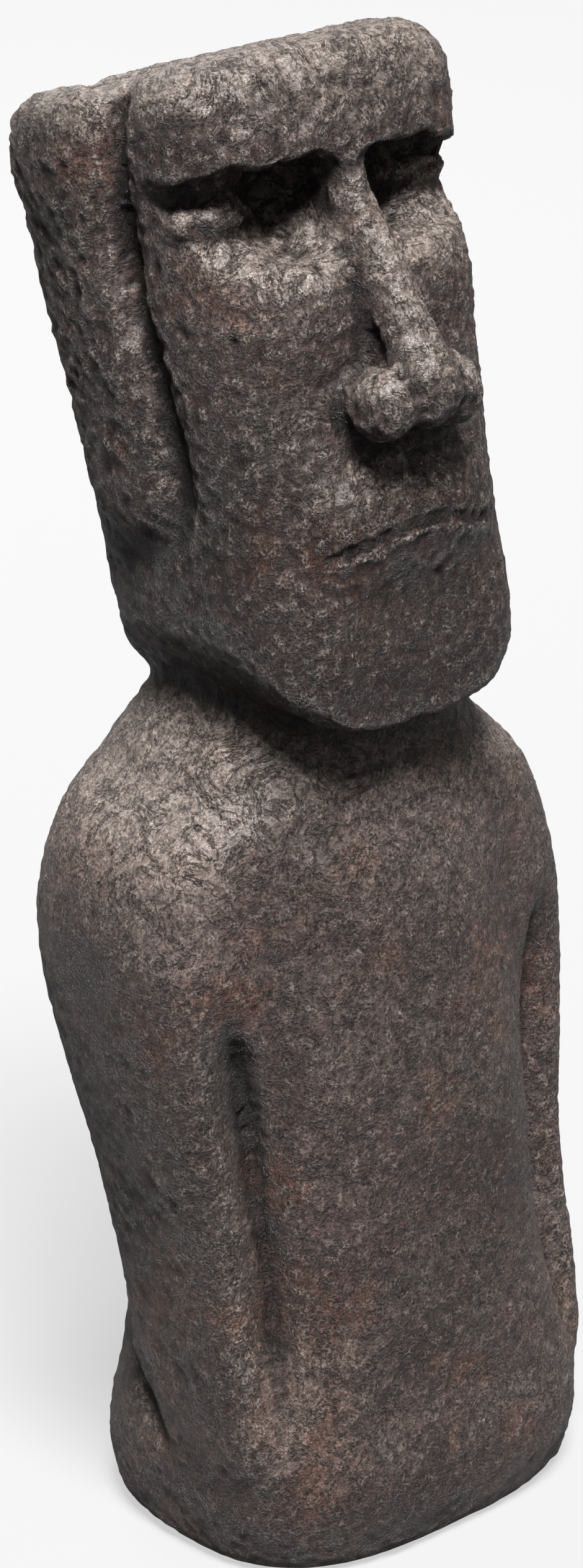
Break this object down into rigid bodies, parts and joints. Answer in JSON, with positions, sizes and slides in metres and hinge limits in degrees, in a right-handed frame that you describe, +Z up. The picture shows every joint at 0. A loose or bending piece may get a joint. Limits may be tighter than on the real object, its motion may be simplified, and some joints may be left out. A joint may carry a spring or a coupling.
{
  "type": "moai statue",
  "caption": "Standing garden moai in dark cast stone: a long head with heavy brow, long nose and long ears, leaning back over an armed torso with a flat underside",
  "frame": {"origin": "on the floor, under the middle of the statue's bounding box", "axes": "+Z up, the statue faces -Y and its own left hand is on +X"},
  "size_m": [0.2912, 0.2544, 0.8],
  "materials": {
    "stone": "rough cast stone with a fine grit, dents and chips, stained dark brown-grey with a soft waxy sheen"
  },
  "bodies": {
    "root": {"statue": "stone"}
  },
  "joints": []
}
